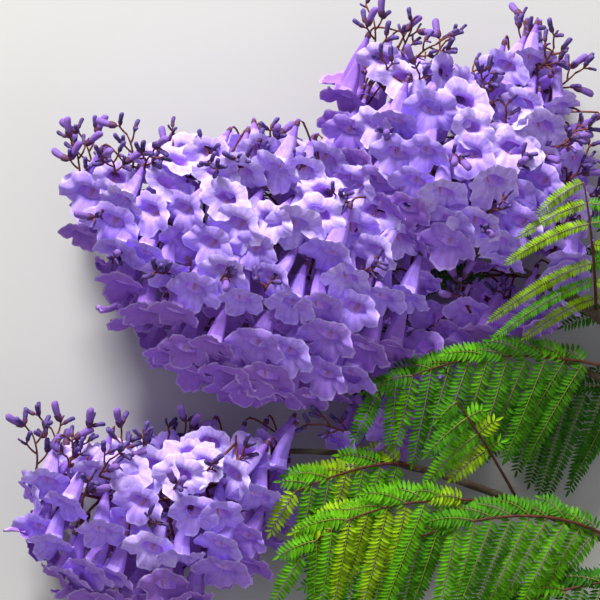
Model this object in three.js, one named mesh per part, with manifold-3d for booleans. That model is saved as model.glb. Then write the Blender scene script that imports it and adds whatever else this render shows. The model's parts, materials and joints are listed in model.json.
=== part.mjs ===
// A cut jacaranda branch in flower, lying on a flat surface.
// Units are millimetres. +Z points up from the surface, +X runs towards the cut end of the stem,
// and +Y is the side that was uppermost while the branch still grew.
// Every bough, flower spike and fern-like leaf is worked out from the named sizes below.

import * as THREE from "three";
import { mergeVertices } from "three/addons/utils/BufferGeometryUtils.js";
import Module from "manifold-3d";

const wasm = await Module();
wasm.setup();

// Clearances between nodes, and the edge length that a joined body closes up
const GAP = 0.3;
const LEAST_GAP = 0.28;
const SHORT_EDGE = 0.05;

// The way the branch hung while it grew, and the way its flowers turn, up from the surface
const HANG = new THREE.Vector3(-0.33, -0.94, 0);
const FACING = new THREE.Vector3(0, 0, 1);
const GOLDEN_ANGLE = Math.PI * (3 - Math.sqrt(5));

// A flower: a bent tube that widens from its calyx to a mouth with lobes. Shares are of its
// length, counted back from the mouth
const FLOWER_LENGTH = 47;
const FLOWER_SIZES = [1, 0.88, 0.76];
const TUBE_BEND = 0.34;
const TUBE_SHARE = 0.45;
const HOLLOW_SHARE = 0.3;
const STALK_SHARE = 0.93;
const STEM_SHARE = 1.2;
const CALYX_RADIUS = 2;
const TUBE_RADIUS = 8.2;
const NOTCH_RADIUS = 14.5;
const LOBE_RADIUS = 20.5;
const LOBES = 5;
const LOBE_CURL = 2;

// How far a flower opens outwards, down the hang, up from the surface and at random. One on the
// underside of a spike hangs by more, and one on its upper side by less
const FLOWER_TURN = { outward: 0.8, hang: 0.85, underside: 0.35, facing: 0.3, loose: 0.6 };

// Stems, stalks and buds of the flower spikes
const AXIS_RADII = [2, 1];
const STEM_RADIUS = 1.6;
const STEM_RUN = 0.94;
const STEM_LEAD = 0.08;
const STEM_FIRST = 0.02;
const STEM_TURNS = [0, 0.4, -0.4, 0.8, -0.8, 1.3, -1.3, 2, -2];
const STALK_RADIUS = 0.9;
const STALK_LEAST = 6;
const STALK_BEND = -0.7;
const STALK_FOOT = [0.3, 0.96];
const BUD_LENGTH = 10;
const BUD_RADII = [2, 1.2];
const BUD_REACH = 1.16;
const BUD_BAND = { middle: 0.5, half: 0.45 };
const BUD_FAN = 2.6;

// A leaf: a rib with pairs of pinnae, each a thin blade. They are longest near the middle of the
// leaf, turn out from the rib and down the hang, and are shorter on the upper side
const RACHIS_RADII = [1.5, 1];
const PINNA_SPACING = 21;
const PINNA_LENGTH = 76;
const PINNA_WIDTH = 15;
const PINNA_ROOT = 2;
const PINNA_WIDEST = 0.35;
const PINNA_THICKNESS = 0.9;
const PINNA_RUN = { least: 0.35, rise: 0.65, start: 0.3, sweep: 0.66 };
const PINNA_TURN = { ahead: 0.4, aside: 0.85, hang: 0.75, facing: -0.12 };
const PINNA_TILT = 0.25;
const PINNA_UPPER = 0.55;

// Each limb springs from another at a share of its length, and runs along a curve with its control
// points in a path. Radii are those of its foot and its tip
const LIMBS = {
  main_stem: { path: [[392, -296, 8.2], [352, -224, 22], [327, -117, 46]], radii: [8, 6] },
  bough_upper: {
    from: "main_stem",
    at: 1,
    path: [[303, -46, 60], [190, 36, 72], [96, 46, 66]],
    radii: [6, 2.6],
  },
  bough_middle: {
    from: "bough_upper",
    at: 0,
    path: [[262, -72, 44], [190, -28, 38], [114, -16, 34]],
    radii: [3.6, 1.8],
  },
  bough_lower: {
    from: "main_stem",
    at: 0.32,
    path: [[240, -200, 40], [110, -112, 58], [-24, -122, 56]],
    radii: [4.4, 2],
  },
};

// Each flower spike has an axis, the reach of its flowers above, below and in front of that axis
// at its foot, middle and tip, and its counts of side clusters, flowers and buds
const SPIKES = {
  left: {
    from: "bough_upper",
    at: 1,
    path: [[-40, 30, 66], [-178, 86, 60]],
    above: [30, 78, 22],
    below: [98, 125, 34],
    depth: [38, 60, 40],
    clusters: 11,
    flowers: 76,
    buds: 16,
    seed: 11,
  },
  upper: {
    from: "bough_upper",
    at: 0.76,
    path: [[118, 112, 70], [50, 188, 62]],
    above: [44, 66, 32],
    below: [38, 74, 44],
    depth: [36, 54, 34],
    clusters: 7,
    flowers: 40,
    buds: 12,
    seed: 23,
  },
  right: {
    from: "bough_upper",
    at: 0.62,
    path: [[206, 92, 46], [168, 196, 54]],
    above: [34, 29, 26],
    below: [28, 40, 32],
    depth: [24, 42, 30],
    clusters: 6,
    flowers: 34,
    buds: 8,
    seed: 37,
  },
  under: {
    from: "bough_upper",
    at: 0.56,
    path: [[172, -14, 42], [116, -28, 36]],
    above: [16, 22, 18],
    below: [16, 22, 16],
    depth: [18, 28, 24],
    clusters: 3,
    flowers: 9,
    buds: 2,
    seed: 83,
  },
  lower: {
    from: "bough_lower",
    at: 1,
    path: [[-116, -190, 60], [-214, -140, 56]],
    above: [14, 48, 12],
    below: [30, 94, 48],
    depth: [32, 56, 36],
    clusters: 8,
    flowers: 50,
    buds: 14,
    seed: 53,
  },
  middle: {
    from: "bough_middle",
    at: 1,
    path: [[90, -84, 34], [28, -130, 34]],
    above: [18, 20, 18],
    below: [22, 42, 28],
    depth: [26, 32, 26],
    clusters: 3,
    flowers: 12,
    buds: 2,
    seed: 71,
  },
};

// Each leaf's rib springs from a limb in the same way, and is bare for a share of its length. A small
// leaf gives the reach of its pinnae as a share of the others'
const LEAVES = {
  leaf_top: { from: "bough_upper", at: 0.48, path: [[232, 38, 104], [222, 92, 112]], bare: 0.14 },
  leaf_fork: {
    from: "bough_upper",
    at: 0.2,
    path: [[200, -36, 70], [124, -36, 76], [62, -74, 78]],
    bare: 0.3,
  },
  leaf_rising: {
    from: "bough_lower",
    at: 0.5,
    path: [[152, -120, 78], [124, -80, 88]],
    bare: 0.55,
    reach: 0.55,
  },
  leaf_trailing: { from: "bough_lower", at: 0.72, path: [[66, -122, 72], [-4, -152, 80]], bare: 0.14 },
  leaf_front: {
    from: "bough_lower",
    at: 0.48,
    path: [[110, -150, 92], [34, -160, 92], [2, -202, 84]],
    bare: 0.3,
  },
  leaf_hanging: {
    from: "bough_lower",
    at: 0.28,
    path: [[196, -150, 80], [96, -172, 84], [16, -232, 76]],
    bare: 0.1,
  },
  leaf_outer: { from: "bough_upper", at: 0.37, path: [[300, 44, 72], [318, 128, 60]], bare: 0.14 },
  leaf_inner: { from: "bough_middle", at: 0.22, path: [[268, -48, 30], [176, -96, 28]], bare: 0.14 },
  leaf_foot: { from: "bough_lower", at: 0.13, path: [[240, -218, 52], [112, -262, 58]], bare: 0.14 },
  leaf_base: { from: "main_stem", at: 0.27, path: [[296, -296, 34], [206, -318, 24]], bare: 0.14 },
  leaf_side: { from: "main_stem", at: 0.72, path: [[392, -92, 50], [384, 10, 40]], bare: 0.14 },
  leaf_small: { from: "bough_upper", at: 0.66, path: [[152, 30, 34], [92, 0, 26]], bare: 0.14 },
};

const COLOURS = {
  bark: { color: 0x4a3328, roughness: 0.85 },
  blossom: { color: 0x8f7be0, roughness: 0.55 },
  leaf: { color: 0x4f9a1e, roughness: 0.6 },
};

// The curve of every limb, and the space round it that the limbs it carries are cut back from
const curves = {};
const jackets = {};

const vector = (p) => new THREE.Vector3(p[0], p[1], p[2]);

// The same small generator gives the same branch on every run
function seeded(seed) {
  let state = seed * 7919 + 17;
  return () => {
    state = (state * 48271) % 2147483647;
    return state / 2147483647;
  };
}

// The curve of a limb, from its foot in the limb that carries it
function curveOf(spec) {
  const p = spec.path.map(vector);
  if (spec.from) p.unshift(curves[spec.from].getPointAt(spec.at));
  return p.length === 4 ? new THREE.CubicBezierCurve3(...p) : new THREE.QuadraticBezierCurve3(...p);
}

// The value at t of a smooth run through the sizes at the foot, middle and tip
function along(sizes, t) {
  const [foot, middle, tip] = sizes;
  return foot * (1 - t) * (1 - 2 * t) + middle * 4 * t * (1 - t) + tip * t * (2 * t - 1);
}

function geometryOf(vertices, faces) {
  const g = new THREE.BufferGeometry();
  g.setAttribute("position", new THREE.Float32BufferAttribute(vertices.flatMap((v) => [v.x, v.y, v.z]), 3));
  g.setIndex(faces.flat());
  return g;
}

// Solids for joining and cutting
function solidOf(geometry) {
  const bare = geometry.clone();
  bare.deleteAttribute("normal");
  bare.deleteAttribute("uv");
  const merged = mergeVertices(bare, 1e-4);
  return new wasm.Manifold(
    new wasm.Mesh({
      numProp: 3,
      vertProperties: merged.attributes.position.array,
      triVerts: new Uint32Array(merged.index.array),
    }),
  );
}

// A ring of points round a centre, in the plane of two unit directions
function ringOf(centre, side, up, radius, count) {
  const ring = [];
  for (let i = 0; i < count; i++) {
    const a = (i / count) * 2 * Math.PI;
    const outward = up.clone().multiplyScalar(Math.cos(a)).addScaledVector(side, Math.sin(a));
    ring.push(outward.multiplyScalar(radius).add(centre));
  }
  return ring;
}

// Faces between two rings of unlike counts, each starting at its own index
function stitchFaces(a, aCount, b, bCount) {
  const faces = [];
  let i = 0;
  let j = 0;
  while (i < aCount || j < bCount) {
    const onA = j === bCount || (i < aCount && (i + 1) / aCount <= (j + 1) / bCount);
    if (onA) faces.push([a + (i % aCount), a + ((i + 1) % aCount), b + (j % bCount)]);
    else faces.push([a + (i % aCount), b + ((j + 1) % bCount), b + (j % bCount)]);
    if (onA) i++;
    else j++;
  }
  return faces;
}

// A solid through rings of points, closed at either end by a flat face, or by a ring of one point
function ringSolid(rings) {
  const starts = [];
  const vertices = [];
  for (const ring of rings) {
    starts.push(vertices.length);
    vertices.push(...ring);
  }
  const faces = [];
  for (let k = 1; k < rings.length; k++) {
    const band = stitchFaces(starts[k - 1], rings[k - 1].length, starts[k], rings[k].length);
    faces.push(...band.filter((face) => new Set(face).size === 3));
  }
  const last = starts.at(-1);
  for (let i = 2; i < rings[0].length; i++) faces.push([0, i, i - 1]);
  for (let i = 2; i < rings.at(-1).length; i++) faces.push([last, last + i - 1, last + i]);
  return solidOf(geometryOf(vertices, faces));
}

// A closed tube along a curve that tapers from one radius to another, made wider and longer by
// an allowance
function taperedTube(curve, [footRadius, tipRadius], steps, sides, allowance) {
  const { tangents, normals, binormals } = curve.computeFrenetFrames(steps);
  const rings = [];
  for (let k = 0; k <= steps; k++) {
    const end = (k === steps) - (k === 0);
    const centre = curve.getPointAt(k / steps).addScaledVector(tangents[k], end * allowance);
    const radius = THREE.MathUtils.lerp(footRadius, tipRadius, k / steps) + allowance;
    rings.push(ringOf(centre, binormals[k], normals[k], radius, sides));
  }
  return ringSolid(rings);
}

function geometryFrom(solid) {
  const mesh = solid.getMesh();
  const g = new THREE.BufferGeometry();
  g.setAttribute("position", new THREE.BufferAttribute(new Float32Array(mesh.vertProperties), 3));
  g.setIndex(new THREE.BufferAttribute(new Uint32Array(mesh.triVerts), 1));
  const flat = g.toNonIndexed();
  flat.computeVertexNormals();
  return flat;
}

function largestBody(solid) {
  return solid.decompose().reduce((best, one) => (one.volume() > best.volume() ? one : best));
}

// Pieces joined into one body, with edges too short to matter closed up
function joined(pieces) {
  return largestBody(wasm.Manifold.union(pieces).simplify(SHORT_EDGE));
}

// What has been placed so far, so that a later piece can keep clear of every other node
const placed = [];

function place(node, solid) {
  const { min, max } = solid.boundingBox();
  placed.push({ node, solid, min, max });
  return solid;
}

function isClear(solid, node) {
  const { min, max } = solid.boundingBox();
  return placed.every(
    (other) =>
      other.node === node ||
      [0, 1, 2].some((i) => other.min[i] > max[i] + GAP || other.max[i] < min[i] - GAP) ||
      other.solid.minGap(solid, 2 * GAP) >= LEAST_GAP,
  );
}

function isApart(others, solid) {
  return others.every((other) => other.minGap(solid, 1) > 0);
}

// A bough, spike axis or leaf rib: one tapering limb, cut back from the limb that carries it
function limb(name, spec, steps, sides) {
  const curve = curveOf(spec);
  curves[name] = curve;
  jackets[name] = taperedTube(curve, spec.radii, steps, sides, GAP / Math.cos(Math.PI / sides));
  let solid = taperedTube(curve, spec.radii, steps, sides, 0);
  if (spec.from) solid = largestBody(solid.subtract(jackets[spec.from]));
  return place(name, solid);
}

// The directions across a line, carried over from a given upward direction
function acrossLine(direction, up) {
  const side = new THREE.Vector3().crossVectors(direction, up).normalize();
  return { side, up: new THREE.Vector3().crossVectors(side, direction) };
}

// A straight twig of few sides
function twig(from, to, footRadius, tipRadius, sides) {
  const direction = to.clone().sub(from).normalize();
  const { side, up } = acrossLine(direction, Math.abs(direction.z) < 0.9 ? FACING : HANG);
  return ringSolid([ringOf(from, side, up, footRadius, sides), ringOf(to, side, up, tipRadius, sides)]);
}

// The bent centreline of a flower's tube, at a share of its length behind the mouth
function tubeLine(share) {
  return new THREE.Vector3(0, TUBE_BEND * FLOWER_LENGTH * share * share, -FLOWER_LENGTH * share);
}

// A trumpet flower, whose mouth opens along +Z with its upper lip towards +Y, put in its place
function bell(matrix) {
  const side = new THREE.Vector3(-1, 0, 0);
  const up = new THREE.Vector3(0, 1, 0);
  const rim = ringOf(new THREE.Vector3(), side, up, 1, 2 * LOBES).map((point, i) => {
    const lobe = i % 2 === 0;
    return point.multiplyScalar(lobe ? LOBE_RADIUS : NOTCH_RADIUS).setZ(lobe ? -LOBE_CURL : 0);
  });
  const rings = [
    ringOf(tubeLine(1), side, up, CALYX_RADIUS, 3),
    ringOf(tubeLine(TUBE_SHARE), side, up, TUBE_RADIUS, LOBES),
    rim,
    [tubeLine(HOLLOW_SHARE)],
  ];
  return ringSolid(rings.map((ring) => ring.map((point) => point.applyMatrix4(matrix))));
}

// A point on the outside of the space that a spike's flowers fill, with its outward direction, at
// a share from -1 at the foot to 1 at the tip and an angle round the axis
function spikePoint(spec, curve, share, angle, reachShare) {
  const t = (1 + share) / 2;
  const tangent = curve.getTangentAt(t);
  const across = new THREE.Vector3().crossVectors(FACING, tangent).normalize();
  if (across.y < 0) across.negate();
  const round = Math.cbrt(1 - Math.abs(share) ** 3);
  const reach = Math.cos(angle) > 0 ? along(spec.above, t) : along(spec.below, t);
  const depth = along(spec.depth, t);
  const point = curve
    .getPointAt(t)
    .addScaledVector(across, Math.cos(angle) * reach * round * reachShare)
    .addScaledVector(FACING, Math.sin(angle) * depth * round * reachShare);
  const normal = across
    .multiplyScalar((Math.cos(angle) * round) / reach)
    .addScaledVector(FACING, (Math.sin(angle) * round) / depth)
    .addScaledVector(tangent, (share * Math.abs(share)) / (0.5 * curve.getLength()))
    .normalize();
  return { point, normal, t };
}

// The middle of stretch i where the run from -1 to 1 is cut in equal stretches
function evenShare(i, count) {
  return (2 * i + 1) / count - 1;
}

// The placing of a flower that opens at a point, outwards and down, with its upper lip against
// the hang
function flowerMatrix({ point, normal }, loose, size) {
  const hang = FLOWER_TURN.hang + FLOWER_TURN.underside * normal.dot(HANG);
  const direction = normal.clone().multiplyScalar(FLOWER_TURN.outward).addScaledVector(HANG, hang);
  direction.addScaledVector(FACING, FLOWER_TURN.facing).addScaledVector(loose, FLOWER_TURN.loose).normalize();
  const side = new THREE.Vector3().crossVectors(HANG.clone().negate(), direction).normalize();
  const up = new THREE.Vector3().crossVectors(direction, side);
  const turn = new THREE.Matrix4().makeBasis(side, up, direction);
  return turn.scale(new THREE.Vector3(size, size, size)).setPosition(point);
}

// The stem of each side cluster, which ends behind the middle flower of its cluster and is turned
// round the axis until it keeps clear of what is there
function clusterStem(spec, name, k) {
  const axis = name + "_axis";
  for (const turn of STEM_TURNS) {
    const angle = (k + 0.25) * GOLDEN_ANGLE + turn;
    const spot = spikePoint(spec, curves[axis], STEM_RUN * evenShare(k, spec.clusters), angle, 1);
    const end = tubeLine(STEM_SHARE).applyMatrix4(flowerMatrix(spot, new THREE.Vector3(), 1));
    end.z = Math.max(end.z, 4 * STEM_RADIUS);
    const root = curves[axis].getPointAt(Math.max(spot.t - STEM_LEAD, STEM_FIRST));
    const stem = largestBody(twig(root, end, STEM_RADIUS, STEM_RADIUS, 4).subtract(jackets[axis]));
    if (!isClear(stem, axis)) continue;
    return { line: new THREE.Line3(root, end), pieces: [stem], twigs: [stem], bells: [] };
  }
  throw new Error(name + " has no room for stem " + k);
}

// The place on a stem where a stalk that leads to a point leaves it, at about half a right angle
function stalkFoot(line, point) {
  const share = line.closestPointToPointParameter(point, false);
  const aside = line.at(share, new THREE.Vector3()).distanceTo(point);
  const foot = THREE.MathUtils.clamp(share - aside / line.distance(), ...STALK_FOOT);
  return line.at(foot, new THREE.Vector3());
}

function nearest(stems, point) {
  const target = new THREE.Vector3();
  const distances = stems.map((stem) => stem.line.closestPointToPoint(point, true, target).distanceTo(point));
  return stems[distances.indexOf(Math.min(...distances))];
}

// A flower at its place, lifted off the surface that the branch lies on, and made smaller where
// its neighbours leave it little room
function fittedFlower(stem, spot, loose) {
  for (const size of FLOWER_SIZES) {
    const matrix = flowerMatrix(spot, loose, size);
    const lift = Math.max(0, -bell(matrix).boundingBox().min[2]);
    matrix.setPosition(spot.point.clone().addScaledVector(FACING, lift));
    const calyx = tubeLine(STALK_SHARE).applyMatrix4(matrix);
    const ahead = tubeLine(TUBE_SHARE).applyMatrix4(matrix).sub(calyx).normalize();
    const foot = stalkFoot(stem.line, calyx);
    const direction = calyx.clone().sub(foot).normalize();
    if (foot.distanceTo(calyx) < STALK_LEAST || direction.dot(ahead) < STALK_BEND) continue;
    const stalk = twig(foot, calyx, STALK_RADIUS, STALK_RADIUS, 3);
    const blossom = bell(matrix);
    if (!isApart(stem.bells, stalk) || !isApart(stem.bells, blossom)) continue;
    if (!isApart(stem.twigs, blossom) || !isClear(stalk, stem.node) || !isClear(blossom, stem.node)) continue;
    stem.bells.push(blossom);
    stem.twigs.push(stalk);
    return [place(stem.node, stalk), place(stem.node, blossom)];
  }
  return [];
}

// A closed bud on a stalk that holds it out past the open flowers
function budStalk(stem, { point, normal }) {
  const rings = (line, radii) => {
    const { side, up } = acrossLine(line.delta(new THREE.Vector3()).normalize(), FACING);
    return radii.map(([t, radius]) => ringOf(line.at(t, new THREE.Vector3()), side, up, radius, 3));
  };
  const base = point.clone().setZ(Math.max(point.z, BUD_LENGTH));
  const stalk = new THREE.Line3(stalkFoot(stem.line, base), base);
  const bud = new THREE.Line3(base, base.clone().addScaledVector(normal, BUD_LENGTH));
  const solid = ringSolid([
    ...rings(stalk, [[0, STALK_RADIUS], [1, STALK_RADIUS]]),
    ...rings(bud, [[0.7, BUD_RADII[0]], [1, BUD_RADII[1]]]),
  ]);
  return isApart(stem.bells, solid) && isClear(solid, stem.node) ? [place(stem.node, solid)] : [];
}

// One pinna: a thin blade from its foot on the rib, along its own direction
function pinna(foot, direction, normal, length) {
  const { side, up } = acrossLine(direction, normal);
  const section = (distance, width) => {
    const centre = foot.clone().addScaledVector(direction, distance);
    const ridge = centre.clone().addScaledVector(up, PINNA_THICKNESS / 2);
    centre.addScaledVector(up, -PINNA_THICKNESS / 2);
    return [ridge, ...[1, -1].map((s) => centre.clone().addScaledVector(side, (s * width) / 2))];
  };
  const tip = foot.clone().addScaledVector(direction, length);
  return ringSolid([section(0, PINNA_ROOT), section(PINNA_WIDEST * length, PINNA_WIDTH), [tip]]);
}

// The direction and length of the pinna on one side of a rib, at a share t of the rib's length and
// a share u of the stretch that has pinnae
function pinnaAt(curve, t, u, side) {
  const tangent = curve.getTangentAt(t);
  const across = new THREE.Vector3().crossVectors(FACING, tangent).normalize().multiplyScalar(side);
  const direction = tangent.clone().multiplyScalar(PINNA_TURN.ahead).addScaledVector(across, PINNA_TURN.aside);
  direction.addScaledVector(HANG, PINNA_TURN.hang).addScaledVector(FACING, PINNA_TURN.facing).normalize();
  const normal = FACING.clone().addScaledVector(across, PINNA_TILT);
  const run = PINNA_RUN.least + PINNA_RUN.rise * Math.sin(Math.PI * (PINNA_RUN.start + PINNA_RUN.sweep * u));
  const upper = 1 + PINNA_UPPER * Math.min(0, across.dot(HANG));
  return { direction, normal, length: PINNA_LENGTH * run * upper };
}

// The blades of a leaf that keep clear of each other, of every other node and of the surface
function pinnae(name, { bare, reach = 1 }) {
  const curve = curves[name];
  const blades = [];
  const pairs = Math.round(((1 - bare) * curve.getLength()) / PINNA_SPACING);
  for (let k = 0; k < pairs; k++) {
    const u = (k + 0.5) / pairs;
    const t = bare + (1 - bare) * u;
    const earlier = [...blades];
    for (const side of [-1, 1]) {
      const { direction, normal, length } = pinnaAt(curve, t, u, side);
      const blade = pinna(curve.getPointAt(t), direction, normal, reach * length);
      if (blade.boundingBox().min[2] < 0 || !isApart(earlier, blade) || !isClear(blade, name)) continue;
      blades.push(place(name, blade));
    }
  }
  return blades;
}

// The side clusters of one flower spike, each joined from its stem, flowers and buds
function clusters(name, spec) {
  const curve = curves[name + "_axis"];
  const random = seeded(spec.seed);
  const stems = [];
  for (let k = 0; k < spec.clusters; k++) {
    const stem = clusterStem(spec, name, k);
    stem.node = name + "_cluster_" + String(k + 1).padStart(2, "0");
    place(stem.node, stem.pieces[0]);
    stems.push(stem);
  }
  for (let i = 0; i < spec.flowers; i++) {
    const spot = spikePoint(spec, curve, evenShare(i, spec.flowers), i * GOLDEN_ANGLE, 1);
    const loose = new THREE.Vector3(random() - 0.5, random() - 0.5, random() - 0.5);
    const stem = nearest(stems, tubeLine(1).applyMatrix4(flowerMatrix(spot, loose, 1)));
    stem.pieces.push(...fittedFlower(stem, spot, loose));
  }
  for (let i = 0; i < spec.buds; i++) {
    const share = BUD_BAND.middle + BUD_BAND.half * evenShare(i, spec.buds);
    const spot = spikePoint(spec, curve, share, BUD_FAN * (random() - 0.5), BUD_REACH);
    const stem = nearest(stems, spot.point);
    stem.pieces.push(...budStalk(stem, spot));
  }
  return stems.map((stem) => [stem.node, joined(stem.pieces)]);
}

// Limbs and axes are placed first, then the leaf ribs, the flower clusters and the pinnae
const parts = {};
for (const [name, spec] of Object.entries(LIMBS)) parts[name] = limb(name, spec, 10, 8);
for (const [name, spec] of Object.entries(SPIKES)) {
  parts[name + "_axis"] = limb(name + "_axis", { ...spec, radii: AXIS_RADII }, 6, 6);
}
for (const [name, spec] of Object.entries(LEAVES)) {
  parts[name] = limb(name, { ...spec, radii: RACHIS_RADII }, 6, 4);
  if (!isClear(parts[name], name)) throw new Error(name + " has no room");
}
for (const [name, spec] of Object.entries(SPIKES)) {
  for (const [node, solid] of clusters(name, spec)) parts[node] = solid;
}
for (const [name, spec] of Object.entries(LEAVES)) parts[name] = joined([parts[name], ...pinnae(name, spec)]);

function materialFor(name) {
  const kind = name.includes("cluster") ? "blossom" : name.startsWith("leaf") ? "leaf" : "bark";
  return new THREE.MeshStandardMaterial({ ...COLOURS[kind], metalness: 0 });
}

// The branch as named meshes, centred over the surface that it lies on
const branch = new THREE.Group();
for (const [name, solid] of Object.entries(parts)) {
  const mesh = new THREE.Mesh(geometryFrom(solid), materialFor(name));
  mesh.name = name;
  branch.add(mesh);
}
const middle = new THREE.Box3().setFromObject(branch).getCenter(new THREE.Vector3());
branch.position.set(-middle.x, -middle.y, 0);

export default branch;
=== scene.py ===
"""A cut jacaranda branch in flower, lying on a pale floor.

The limbs, flower spikes and leaves grow by the same rule as the solids that they replace, from the
same named sizes, and are carried on to petals, stalks, buds and leaflets.
"""

import functools
import json
import math
import random

import bpy
import numpy as np
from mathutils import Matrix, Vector, noise

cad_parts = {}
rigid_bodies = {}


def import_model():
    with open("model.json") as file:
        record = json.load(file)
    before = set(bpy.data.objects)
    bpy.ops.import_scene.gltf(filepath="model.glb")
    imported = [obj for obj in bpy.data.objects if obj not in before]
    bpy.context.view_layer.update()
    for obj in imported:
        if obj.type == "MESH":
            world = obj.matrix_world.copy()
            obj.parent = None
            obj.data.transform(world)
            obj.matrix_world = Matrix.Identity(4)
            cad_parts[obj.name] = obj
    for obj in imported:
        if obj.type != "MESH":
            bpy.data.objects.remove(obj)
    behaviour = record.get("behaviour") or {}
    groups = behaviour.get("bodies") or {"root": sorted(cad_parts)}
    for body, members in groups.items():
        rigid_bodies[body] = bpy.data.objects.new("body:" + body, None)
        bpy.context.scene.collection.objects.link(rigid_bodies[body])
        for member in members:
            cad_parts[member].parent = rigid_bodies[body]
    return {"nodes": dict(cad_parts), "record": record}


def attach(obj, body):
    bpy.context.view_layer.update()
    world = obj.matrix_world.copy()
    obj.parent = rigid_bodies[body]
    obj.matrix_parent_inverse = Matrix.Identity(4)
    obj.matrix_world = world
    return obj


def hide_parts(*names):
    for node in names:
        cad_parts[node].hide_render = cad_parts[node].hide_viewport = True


bl_info = {
    "name": "Jacaranda branch",
    "version": (1, 0, 0),
    "blender": (4, 5, 0),
    "location": "View3D > Sidebar > Branch",
    "description": "Grows a cut branch with flower spikes and fern-like leaves",
    "category": "Add Mesh",
}

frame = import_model()


def grown(parent, at, *path, **traits):
    """A form that springs from its parent at a share of the parent's length."""
    return {"parent": parent, "at": at, "path": path, **traits}


# Growth tables: places in millimetres, counted from the middle of the photograph
MM = 0.001
LIMBS = {
    "main_stem": {"path": ((392, -296, 8.2), (352, -224, 22), (327, -117, 46)), "radii": (8, 6)},
    "bough_upper": grown("main_stem", 1, (303, -46, 60), (190, 36, 72), (96, 46, 66), radii=(6, 2.6)),
    "bough_middle": grown(
        "bough_upper", 0, (262, -72, 44), (190, -28, 38), (114, -16, 34), radii=(3.6, 1.8)),
    "bough_lower": grown(
        "main_stem", 0.32, (240, -200, 40), (110, -112, 58), (-24, -122, 56), radii=(4.4, 2)),
}

# The reach of a spike's flowers above, below and in front of its axis, at foot, middle and tip, and
# where given its shade: how much paler or deeper its flowers are tinted, as painted light or shade
SPIKES = {
    "left": grown(
        "bough_upper", 1, (-40, 30, 66), (-178, 86, 60),
        above=(30, 78, 22), below=(98, 125, 34), depth=(38, 60, 40),
        stems=26, flowers=190, sprays=12, tufts=11, seed=11),
    "upper": grown(
        "bough_upper", 0.76, (118, 112, 70), (50, 188, 62),
        above=(44, 66, 32), below=(38, 74, 44), depth=(36, 54, 34),
        stems=16, flowers=110, sprays=9, tufts=8, seed=23),
    "right": grown(
        "bough_upper", 0.62, (206, 92, 46), (168, 196, 54),
        above=(34, 29, 26), below=(28, 40, 32), depth=(24, 42, 30),
        stems=14, flowers=90, sprays=6, tufts=6, seed=37, shade=-0.5),
    "under": grown(
        "bough_upper", 0.56, (172, -14, 42), (116, -28, 36),
        above=(16, 22, 18), below=(16, 22, 16), depth=(18, 28, 24),
        stems=6, flowers=24, sprays=1, tufts=1, seed=83, shade=1.4),
    "lower": grown(
        "bough_lower", 1, (-116, -190, 60), (-214, -140, 56),
        above=(14, 48, 12), below=(30, 94, 48), depth=(32, 56, 36),
        stems=18, flowers=130, sprays=9, tufts=7, seed=53),
    "middle": grown(
        "bough_middle", 1, (90, -84, 34), (28, -130, 34),
        above=(18, 20, 18), below=(22, 42, 28), depth=(26, 32, 26),
        stems=7, flowers=40, sprays=2, tufts=2, seed=71, shade=1.2),
}

# Each leaf names the greens that its pinnae are dealt, where the lime and bright greens are partly painted
# light and the deep green is painted shade, and where it differs from the rest the share of its rib that
# is bare, the reach of its pinnae and the fineness of its leaflets
BARE = 0.14
LEAVES = {
    "leaf_top": grown(
        "bough_upper", 0.48, (232, 38, 104), (222, 92, 112), fine=0.66, greens="lime lime bright"),
    "leaf_fork": grown(
        "bough_upper", 0.2, (200, -36, 70), (124, -36, 76), (62, -74, 78),
        bare=0.3, greens="bright middle middle"),
    "leaf_rising": grown(
        "bough_lower", 0.5, (152, -120, 78), (124, -80, 88),
        bare=0.55, reach=0.55, greens="lime bright middle"),
    "leaf_trailing": grown("bough_lower", 0.72, (66, -122, 72), (-4, -152, 80), greens="lime bright middle"),
    "leaf_front": grown(
        "bough_lower", 0.48, (110, -150, 92), (34, -160, 92), (2, -202, 84),
        bare=0.3, greens="lime bright bright"),
    "leaf_hanging": grown(
        "bough_lower", 0.28, (196, -150, 80), (96, -172, 84), (16, -232, 76),
        bare=0.1, greens="bright middle middle"),
    "leaf_outer": grown("bough_upper", 0.37, (300, 44, 72), (318, 128, 60), greens="bright middle middle"),
    "leaf_inner": grown("bough_middle", 0.22, (268, -48, 30), (176, -96, 28), greens="middle deep deep"),
    "leaf_foot": grown("bough_lower", 0.13, (240, -218, 52), (112, -262, 58), greens="middle bright deep"),
    "leaf_base": grown(
        "main_stem", 0.27, (296, -296, 34), (206, -318, 24), reach=0.92, greens="deep middle deep"),
    "leaf_side": grown("main_stem", 0.72, (392, -92, 50), (384, 10, 40), greens="middle bright middle"),
    "leaf_small": grown("bough_upper", 0.66, (152, 30, 34), (92, 0, 26), greens="deep middle deep"),
}

FORMS = {**LIMBS, **SPIKES, **LEAVES}

# The way that the flowers hang in the picture, the way to the camera, and how much of it makes a
# direction steep
HANG = np.array((-0.33, -0.94, 0.0))
FACING = np.array((0.0, 0.0, 1.0))
STEEP = 0.9

# The turn from each form on a spike to the next, and the marks that measure a curve
GOLDEN_ANGLE = math.pi * (3 - math.sqrt(5))
CURVE_MARKS = 201

# Least height over the floor, in metres, of a petal, a stalk's bow, a stem or pinna, a full-size bud
# and a leaflet
PETAL_ROOM, BOW_ROOM, STEM_ROOM, BUD_ROOM, LEAFLET_ROOM = 0.0005, 0.004, 0.006, 0.014, 0.0006

# What is added to a spike's seed for its sprays, tufts and buds
SPRAY_SEED, TUFT_SEED, BUD_SEED = 400, 500, 700

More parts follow.
